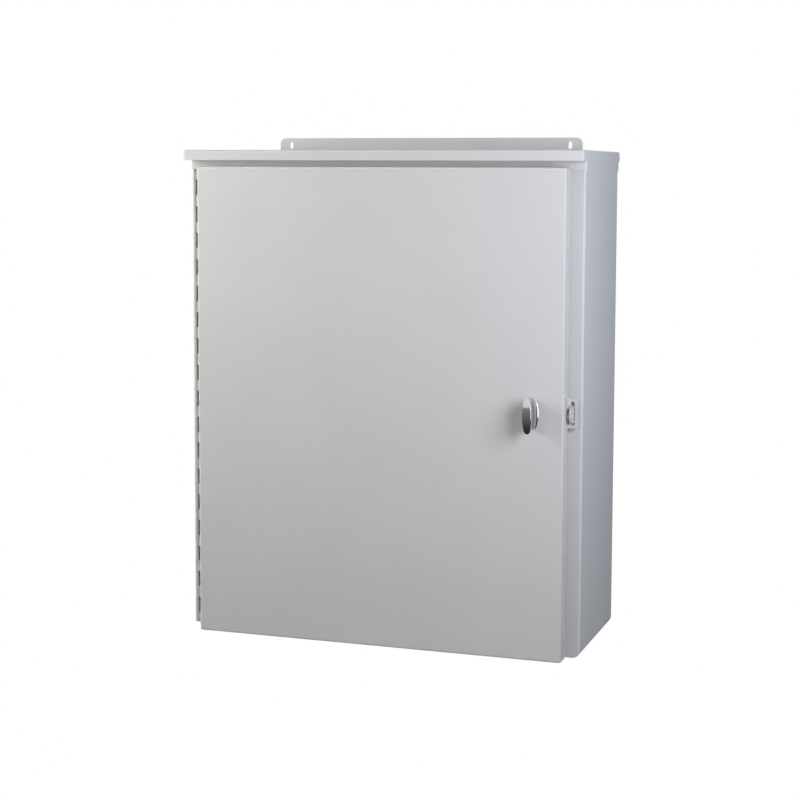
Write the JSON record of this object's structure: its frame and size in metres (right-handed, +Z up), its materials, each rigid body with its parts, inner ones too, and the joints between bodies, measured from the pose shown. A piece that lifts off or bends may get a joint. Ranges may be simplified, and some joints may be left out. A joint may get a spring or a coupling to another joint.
{
  "type": "outdoor electrical enclosure",
  "caption": "Wall-mounted rainproof sheet steel enclosure with drip cap, hinged pan door, wing knob latch, padlock hasp and inner mounting panel.",
  "frame": {"origin": "on the wall face, in the middle of the back panel and of the four wall slots", "axes": "+X to the right of someone facing the door, +Y towards the wall, +Z up"},
  "size_m": [0.77, 0.3448, 0.9694],
  "materials": {
    "grey_paint": "satin light grey powder coat",
    "white_paint": "satin white powder coat",
    "chrome": "polished chrome plate",
    "zinc_steel": "bright zinc plate",
    "pocket_plastic": "moulded light grey plastic"
  },
  "bodies": {
    "body": {"body_wrap": "grey_paint", "back_panel": "grey_paint", "top_pan": "grey_paint", "drip_cap": "grey_paint", "hinge_body_leaf": "grey_paint", "hinge_pin": "zinc_steel", "padlock_staple": "grey_paint", "panel_studs": "zinc_steel", "mounting_panel": "white_paint", "panel_washers": "zinc_steel", "panel_nuts": "zinc_steel", "ground_stud": "zinc_steel", "ground_washer": "zinc_steel", "ground_nut": "zinc_steel"},
    "door": {"door_panel": "grey_paint", "hinge_door_leaf": "grey_paint", "door_stiffener": "grey_paint", "data_pocket": "pocket_plastic", "hasp_plate": "grey_paint", "latch_bushing": "chrome", "bushing_nut": "zinc_steel", "door_ground_stud": "zinc_steel", "door_ground_washer": "zinc_steel", "door_ground_nut": "zinc_steel"},
    "latch": {"wing_knob": "chrome", "latch_spindle": "zinc_steel", "latch_spacer": "zinc_steel", "latch_cam": "zinc_steel", "cam_washer": "zinc_steel", "cam_nut": "zinc_steel"}
  },
  "joints": [
    {"name": "door_hinge", "type": "hinge", "parent": "body", "child": "door", "pos_m": [-0.37625, -0.2714, 0], "axis": [0, 0, -1], "range_deg": [0, 180]},
    {"name": "latch_turn", "type": "hinge", "parent": "door", "child": "latch", "pos_m": [0.2975, -0.3, -0.00955], "axis": [0, -1, 0], "range_deg": [0, 90]}
  ]
}
